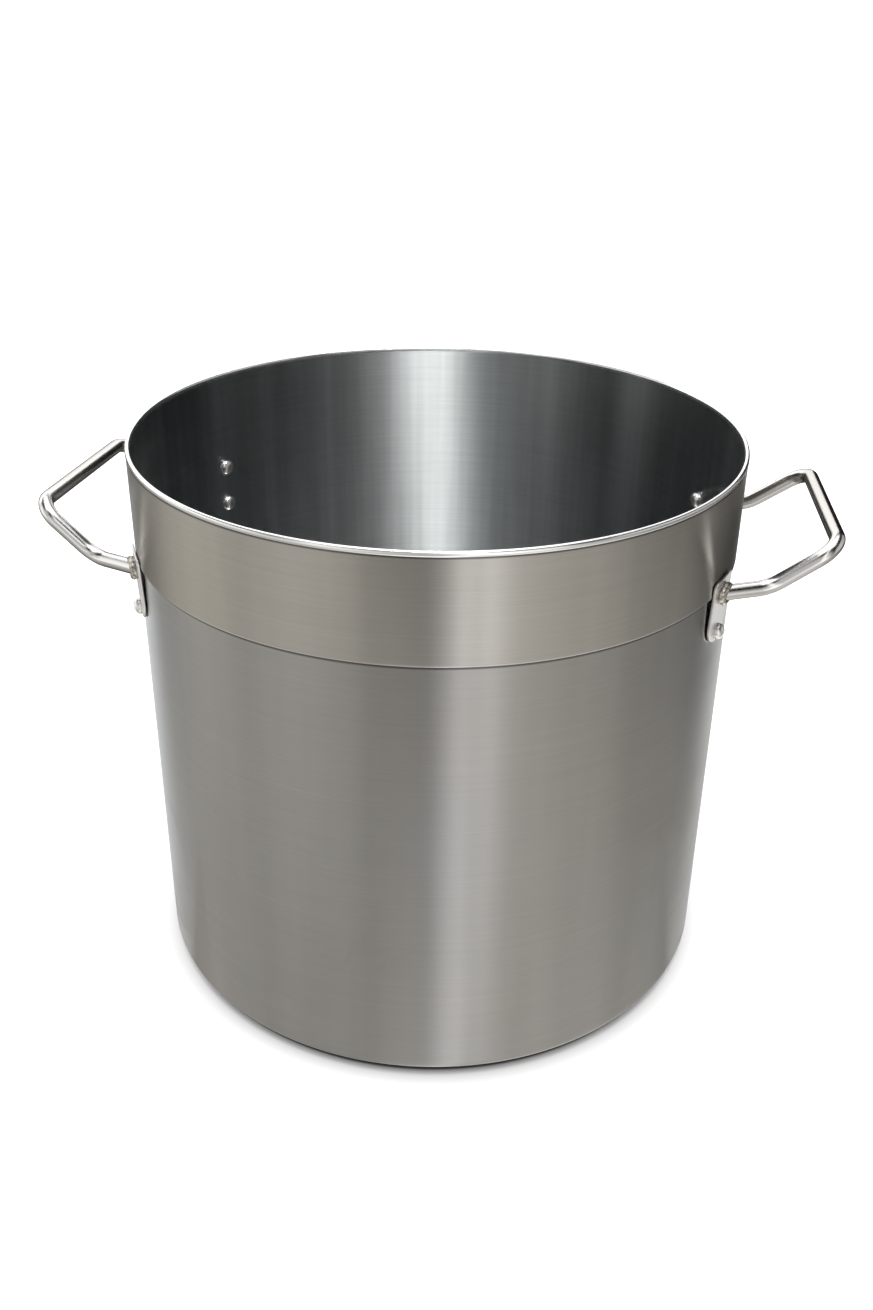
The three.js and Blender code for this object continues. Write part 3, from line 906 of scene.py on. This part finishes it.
def rivet(leg, level):
    """A pin through wall and strap, with a head inside the pot. The lower one has a domed outer
    head; the upper one flares and ends inside the strap."""
    upper = level == "upper"
    z = centre_height(f"{level}_rivet_{leg.node}")
    face = strap_face(z)
    head_at = SHELL_R - WALL - 0.05 * MM  # the inner head sits on the wall
    shank_r = 2.5 * MM
    inner_head = dome(5.5 * MM, 3.35 * MM, head_at, -1, dimple=0.1)
    profile = inner_head[::-1] + [(shank_r, head_at)]
    if upper:
        end = face - 0.35 * MM
        profile += [(shank_r, face - 1.85 * MM), (4.0 * MM, end), (0, end)]
    else:
        seat = face - 0.1 * MM
        profile += [(shank_r, seat)]
        profile += dome(5.2 * MM, 4.9 * MM, seat, 1, steps=14, dimple=0.01, power=0.93)

    # Turned about Z, then laid along X.
    bm = lathe(profile, segments=40)
    lay_down = Matrix.Rotation(math.pi / 2, 3, "Y")
    bmesh.ops.rotate(bm, verts=bm.verts, cent=(0, 0, 0), matrix=lay_down)
    # A struck head is never perfectly true: dent it a little, the outer one less.
    seed = Vector((leg.az * 5, 1.3 if upper else 4.4, 2.0 if leg.side == "left" else 6.0))
    for vert in bm.verts:
        if vert.co.x < head_at - 0.4 * MM or vert.co.x > face + 0.4 * MM:
            place_on_head = Vector((vert.co.y, vert.co.z, 0))
            broad = noise.noise(place_on_head * 320 + seed)
            fine = noise.noise(place_on_head * 620 + seed * 2)
            amount = 0.3 if vert.co.x > face else 1.0
            vert.co.x += (broad * 0.22 + fine * 0.1) * MM * amount
    obj = new_object(f"{level}_pin_{leg.node}", bm, sharp_angle=50)
    place(obj, leg.facing @ Matrix.Translation((0, 0, z)))
    register(obj, f"{level}_rivet_{leg.node}", "rivet_steel", MAT_RIVET)


shell()
band()
rim()
core()
cap()
handle(*LEGS[:2])
handle(*LEGS[2:])
for leg in LEGS:
    strap(leg)
    weld(leg)
    rivet(leg, "upper")
    rivet(leg, "lower")


# ---------------------------------------------------------------------------------------------
# Floor
# ---------------------------------------------------------------------------------------------
# Painted contact shadow: how pale the floor is, by fraction of SHADE_REACH out from the base's
# edge, grey.
SHADE_REACH = 0.036
FLOOR_SHADE = [
    (0.0, 0.05), (0.025, 0.10), (0.06, 0.42), (0.18, 0.64), (0.40, 0.80), (0.68, 0.90),
    (1.0, 0.93),
]
FLOOR_PALE = (0.93, 0.93, 0.93)


def floor_material():
    """Pale, with a soft painted contact shadow drawn round the base."""
    material, t = new_material("stage_floor_pale")
    out = t.node("ShaderNodeOutputMaterial")
    diffuse = t.node("ShaderNodeBsdfDiffuse")
    x, y, _ = t.split(t.object_point())
    radius = t.radius(x, y)
    away = t.minus(radius, CAP_R)
    shade = t.ramp(t.math("DIVIDE", away, SHADE_REACH, clamp=True), FLOOR_SHADE)
    # The painted shadow is deepest towards the front, where the foot hides the light of the room
    # behind.
    toward = t.math(
        "DIVIDE",
        t.plus(t.times(x, math.cos(CAM_AZ)), t.times(y, math.sin(CAM_AZ))),
        t.math("MAXIMUM", radius, 0.01),
    )
    shade = t.mix(t.remap(toward, (0.1, 0.75), (0.3, 1.0)), FLOOR_PALE, shade)
    t.put(diffuse.inputs["Color"], shade)
    t.put(out.inputs["Surface"], diffuse.outputs[0])
    return material


def floor():
    bm = bmesh.new()
    bmesh.ops.create_grid(bm, x_segments=60, y_segments=60, size=200.0)
    obj = new_object("stage_floor", bm)
    obj.location = (0, 0, -0.4 * MM)
    obj.data.materials.append(floor_material())
    obj.visible_glossy = False


floor()

# ---------------------------------------------------------------------------------------------
# World: the studio round the pot as its polished faces see it
# ---------------------------------------------------------------------------------------------
# Azimuths from the camera's side, in degrees, positive to the camera's right.
RING_AZ = (
    -165, -135, -110, -90, -72, -56, -42, -31, -22, -14, -10, -6, -3, 0,
    3, 6, 9, 12, 15, 19, 24, 33, 44, 57, 72, 90, 110, 135, 165,
)
# Rings from the ground to overhead: elevation in degrees, brightness at each of RING_AZ.
RINGS = (
    (-60, (
        0.15, 0.30, 0.45, 0.54, 0.08, 0.08, 0.33, 0.58, 0.86, 0.99, 1.12, 0.93, 0.95, 1.03,
        1.27, 1.44, 1.57, 1.30, 0.73, 0.24, 0.40, 0.26, 0.71, 0.55, 0.77, 0.83, 1.43, 0.80, 0.15,
    )),
    (-15, (
        0.10, 0.15, 0.65, 0.56, 0.68, 0.78, 0.65, 0.61, 0.26, 0.13, 0.01, 0.00, 0.00, 0.00,
        0.00, 0.18, 0.58, 0.95, 0.86, 1.50, 1.19, 0.89, 0.62, 0.56, 0.29, 0.10, 0.00, 0.00, 0.10,
    )),
    (15, (
        0.00, 0.00, 0.00, 0.62, 0.00, 0.37, 0.70, 0.13, 0.03, 0.00, 0.00, 0.00, 0.00, 0.05,
        0.28, 0.67, 0.81, 0.85, 0.70, 0.38, 0.00, 0.00, 0.00, 0.00, 0.00, 0.18, 0.00, 0.00, 0.00,
    )),
    (45, (
        0.00, 0.00, 0.00, 0.00, 0.00, 0.57, 0.39, 0.00, 0.00, 0.00, 0.00, 0.07, 0.57, 0.85,
        1.15, 1.37, 1.33, 1.17, 0.89, 0.53, 0.00, 0.00, 0.00, 0.00, 0.00, 0.00, 0.00, 0.00, 0.00,
    )),
    (75, (
        0.44, 0.00, 0.00, 0.00, 0.71, 0.91, 0.51, 0.00, 0.00, 0.00, 0.10, 0.24, 0.47, 0.70,
        0.89, 1.02, 1.07, 1.04, 0.94, 0.79, 0.61, 0.00, 0.00, 0.00, 0.37, 0.00, 0.00, 0.00, 0.42,
    )),
)
# Tint of the lower rings by azimuth.
TINTED_RINGS = 3
WARM, COOL = (1.0, 0.98, 0.94), (0.985, 0.985, 1.0)
TINT_AZ = ((-180, WARM), (-12, WARM), (1, COOL), (16, COOL), (34, WARM), (180, WARM))
WHITE = (1.0, 1.0, 1.0, 1.0)


def round_fraction(azimuth):
    """Azimuth in degrees, -180 to 180, as 0 to 1."""
    return (azimuth + 180) / 360


def ring_colour(t, around, ring, tinted):
    """One ring's brightness: a ramp up to 1, multiplied by the ring's peak."""
    peak = max(ring)
    seam = 0.5 * (ring[0] + ring[-1]) / peak
    stops = [(0.0, seam)]
    stops += [(round_fraction(a), value / peak) for a, value in zip(RING_AZ, ring)]
    stops += [(1.0, seam)]
    color = t.tint(t.ramp(around, stops), (peak, peak, peak))
    if tinted:
        tints = [(round_fraction(a), tint) for a, tint in TINT_AZ]
        color = t.tint(color, t.ramp(around, tints))
    return color


def world():
    """Reflections see the rings, diffuse rays an even white, and the camera plain white."""
    made = bpy.data.worlds.new("studio")
    bpy.context.scene.world = made
    made.use_nodes = True
    made.cycles.sampling_method = "NONE"
    t = Nodes(made.node_tree)
    out = t.node("ShaderNodeOutputWorld")
    x, y, z = t.split(t.node("ShaderNodeTexCoord").outputs["Generated"])
    azimuth = t.math("ARCTAN2", y, x)
    turns = t.math("DIVIDE", t.minus(azimuth, CAM_AZ), 2 * math.pi)
    around = t.plus(t.math("WRAP", turns, 0.5, -0.5), 0.5)
    elevation = t.times(t.math("ARCSINE", z), 180 / math.pi)

    rings_colour = None
    for k, (ring_elevation, ring) in enumerate(RINGS):
        color = ring_colour(t, around, ring, tinted=k < TINTED_RINGS)
        if k == 0:
            rings_colour = color
        else:
            blend = t.remap(elevation, (RINGS[k - 1][0], ring_elevation))
            rings_colour = t.mix(blend, rings_colour, color)

    def background(color, strength):
        shader = t.node("ShaderNodeBackground")
        t.put(shader.inputs[0], color)
        shader.inputs[1].default_value = strength
        return shader.outputs[0]

    def choose(test, otherwise, chosen):
        shader = t.node("ShaderNodeMixShader")
        for socket, value in zip(shader.inputs, (test, otherwise, chosen)):
            t.put(socket, value)
        return shader.outputs[0]

    ray = t.node("ShaderNodeLightPath").outputs
    reflected = background(rings_colour, strength=1.0)
    lighting = background(WHITE, strength=1.7)
    backdrop = background(WHITE, strength=1.0)
    surface = choose(ray["Is Diffuse Ray"], reflected, lighting)
    surface = choose(ray["Is Camera Ray"], surface, backdrop)
    t.put(out.inputs["Surface"], surface)


world()


# ---------------------------------------------------------------------------------------------
# Lights. Azimuths go round the pot from the camera, in degrees, positive to the camera's right.
# ---------------------------------------------------------------------------------------------
def stand(azimuth, distance, height):
    angle = math.radians(azimuth) + CAM_AZ
    return Vector((distance * math.cos(angle), distance * math.sin(angle), height))


def area(name, location, wide, tall, power, color=(1, 1, 1)):
    light = bpy.data.lights.new(name, "AREA")
    light.shape = "RECTANGLE"
    light.size, light.size_y = wide, tall
    light.energy = power
    light.color = color
    obj = bpy.data.objects.new(name, light)
    bpy.context.scene.collection.objects.link(obj)
    obj.location = location
    return obj


def aim(obj, target_height):
    """Turn a light to a point on the pot's axis."""
    toward = Vector((0, 0, target_height)) - obj.location
    obj.rotation_mode = "QUATERNION"
    obj.rotation_quaternion = toward.to_track_quat("-Z", "Y")


def group(name, *starts):
    """The meshes whose names begin with any of these, for linking to lights."""
    made = bpy.data.collections.new(name)
    for obj in bpy.context.scene.objects:
        if obj.type == "MESH" and obj.name.startswith(starts):
            made.objects.link(obj)
    return made


# Narrow tubes hung over the opening: they reach only the shell, the rim and the rivets.
# Place to the camera's right, width (metres), brightness.
OVERHEAD = (
    (-0.025, 0.025, 64.7),
    (0.025, 0.025, 760),
    (0.08, 0.035, 50.8),
)
OVERHEAD_LENGTH = 0.18
INSIDE = group("lit_inside", "shell_body", "rim_ring", "upper_pin", "lower_pin")
CAMERA_RIGHT = Vector((-math.sin(CAM_AZ), math.cos(CAM_AZ), 0))
for i, (across, wide, bright) in enumerate(OVERHEAD):
    tube = area(
        f"overhead_{i}", stand(azimuth=0, distance=0.04, height=1.1) + CAMERA_RIGHT * across,
        wide, OVERHEAD_LENGTH, power=bright * math.pi * wide * OVERHEAD_LENGTH,
        color=(1.0, 0.965, 0.93),
    )
    tube.rotation_mode = "XYZ"
    tube.rotation_euler = (0, 0, CAM_AZ + math.pi / 2)
    tube.visible_camera = False
    tube.light_linking.receiver_collection = INSIDE

POLISHED = group(
    "lit_polished",
    "rim_ring", "handle_loop", "bracket", "bead", "upper_pin", "lower_pin", "base_plate",
)
BRACKETS = group("lit_brackets", "bracket", "lower_pin")
LOWER_WALL = group("lit_lower_wall", "shell_body")
COLLAR = group("lit_collar", "band_collar")
# Only these cast shadows in the light of the white walls. The floor casts none.
POT = group(
    "pot", "shell_body", "band_collar", "rim_ring", "handle_loop", "bracket", "base_plate"
)

# White walls round the pot, by the pieces they reach:
# name, azimuth, distance, height, width, tallness, brightness, height aimed at, colour
PLAIN = (1, 1, 1)
WALLS = (
    # The tent.
    (POLISHED, (
        ("tent_back", -157, 3.0, 2.0, 6.2, 2.6, 1.55, 2.0, PLAIN),
        ("tent_top", 180, 0.5, 3.2, 3.4, 3.4, 1.5, 0.3, PLAIN),
        ("tent_front", 0, 3.0, 0.9, 6.0, 3.4, 0.5, 0.9, PLAIN),
        ("tent_left", -95, 3.0, 1.0, 4.0, 2.4, 0.7, 1.0, PLAIN),
        ("tent_right", 95, 3.0, 1.0, 4.0, 2.4, 0.5, 1.0, PLAIN),
        ("tent_floor", 0, 0.4, -2.2, 4.0, 4.0, 0.4, 0.3, (1.0, 0.94, 0.86)),
    )),
    # Bright ground beside the flat brackets.
    (BRACKETS, (
        ("bracket_right", 122, 2.0, -0.85, 1.7, 1.5, 0.72, 0.3, PLAIN),
        ("bracket_left", -120, 2.0, -0.85, 1.7, 1.5, 0.8, 0.3, PLAIN),
    )),
    # Bright ground behind the pot, seen only along the limbs of its walls.
    (LOWER_WALL, (
        ("limb_left", -150, 2.6, -1.0, 1.9, 2.2, 1.25, 0.2, (0.93, 0.97, 1.0)),
        ("limb_right", 149, 2.6, -1.0, 2.0, 2.2, 0.95, 0.2, (0.97, 0.99, 1.0)),
    )),
    (COLLAR, (
        ("limb_collar_left", -158, 2.6, -0.9, 1.9, 2.0, 0.42, 0.34, (0.9, 0.95, 1.0)),
        ("limb_collar_right", 164, 2.6, -0.9, 1.3, 2.0, 0.5, 0.34, (0.95, 0.98, 1.0)),
    )),
)
for reached, rows in WALLS:
    for name, azimuth, distance, height, wide, tall, bright, target_height, color in rows:
        location = stand(azimuth, distance, height)
        panel = area(name, location, wide, tall, bright * math.pi * wide * tall, color)
        aim(panel, target_height)
        panel.visible_camera = False
        panel.light_linking.receiver_collection = reached
        panel.light_linking.blocker_collection = POT

# Soft light from above, kept out of reflections.
soft = area(
    "top_soft", stand(azimuth=10, distance=0.9, height=3.2), wide=2.4, tall=2.4, power=30
)
aim(soft, target_height=0)
soft.visible_glossy = False

# ---------------------------------------------------------------------------------------------
# Camera
# ---------------------------------------------------------------------------------------------
CAM_DISTANCE = 0.8088  # from the pot's axis
CAM_ABOVE_TOP = 0.2699
CAM_PITCH = math.radians(28.47)  # downward
CAM_ROLL = 0.0132  # radians
CAM_PAN = 0.0017  # radians, to the right of the pot's axis


def camera():
    data = bpy.data.cameras.new("camera")
    obj = bpy.data.objects.new("camera", data)
    bpy.context.scene.collection.objects.link(obj)
    heading = CAM_AZ + math.pi - CAM_PAN
    ahead = Vector(
        (
            math.cos(heading) * math.cos(CAM_PITCH),
            math.sin(heading) * math.cos(CAM_PITCH),
            -math.sin(CAM_PITCH),
        )
    )
    level_right = Vector((math.sin(heading), -math.cos(heading), 0))
    level_up = level_right.cross(ahead)
    right = level_right * math.cos(CAM_ROLL) + level_up * math.sin(CAM_ROLL)
    up = -level_right * math.sin(CAM_ROLL) + level_up * math.cos(CAM_ROLL)
    location = stand(azimuth=0, distance=CAM_DISTANCE, height=TOP + CAM_ABOVE_TOP)
    obj.matrix_world = Matrix(
        (
            (right.x, up.x, -ahead.x, location.x),
            (right.y, up.y, -ahead.y, location.y),
            (right.z, up.z, -ahead.z, location.z),
            (0, 0, 0, 1),
        )
    )
    data.sensor_width = 36.0
    data.sensor_fit = "AUTO"
    data.lens = 35.340458
    data.clip_start, data.clip_end = 0.01, 2000
    bpy.context.scene.camera = obj


camera()

view = bpy.context.scene.view_settings
view.view_transform = "Standard"
view.look = "None"
view.exposure = 0.0
view.gamma = 1.0

bpy.context.view_layer.update()
